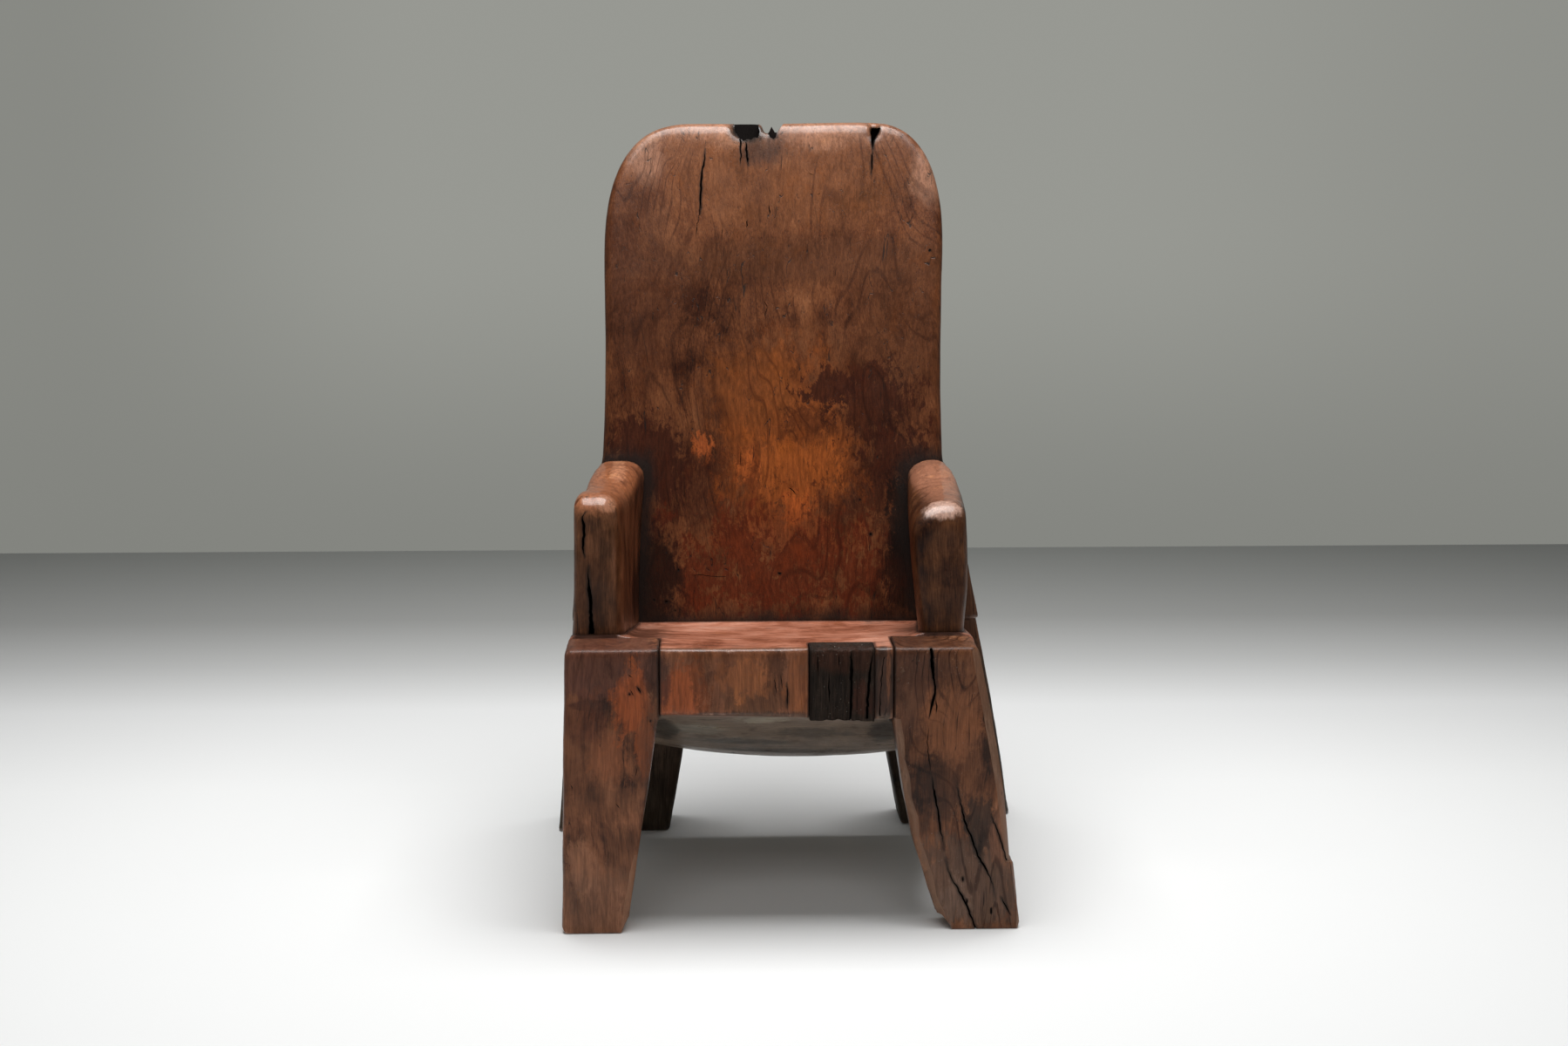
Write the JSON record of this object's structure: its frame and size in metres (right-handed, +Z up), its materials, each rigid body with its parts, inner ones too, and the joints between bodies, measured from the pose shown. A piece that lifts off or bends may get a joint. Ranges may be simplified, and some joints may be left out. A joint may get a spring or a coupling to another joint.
{
  "type": "carved armchair",
  "caption": "Low hewn hardwood armchair: a dished seat block with splayed legs, upright arms and a tall backrest with rounded corners.",
  "frame": {"origin": "on the floor, under the middle of the bounding box", "axes": "+Z up; the chair faces -Y; +X to the right of someone who stands in front of the chair and looks at it"},
  "size_m": [0.74, 0.6731, 1.1279],
  "materials": {
    "red_wood": "waxed hardwood with a red cast",
    "brown_wood": "waxed hardwood",
    "dark_wood": "dark weathered hardwood",
    "peg_wood": "bare dowel wood, hidden in the joints"
  },
  "bodies": {
    "root": {"seat_block": "red_wood", "apron_inset": "dark_wood", "backrest": "brown_wood", "left_arm": "brown_wood", "right_arm": "brown_wood", "front_left_leg": "red_wood", "front_right_leg": "brown_wood", "rear_left_leg": "dark_wood", "rear_right_leg": "dark_wood", "backrest_tenons": "peg_wood", "backrest_pegs": "peg_wood", "left_arm_dowels": "peg_wood", "right_arm_dowels": "peg_wood", "left_arm_back_dowel": "peg_wood", "right_arm_back_dowel": "peg_wood", "front_left_leg_dowels": "peg_wood", "front_right_leg_dowels": "peg_wood", "rear_left_leg_dowels": "peg_wood", "rear_right_leg_dowels": "peg_wood", "apron_inset_dowels": "peg_wood"}
  },
  "joints": []
}
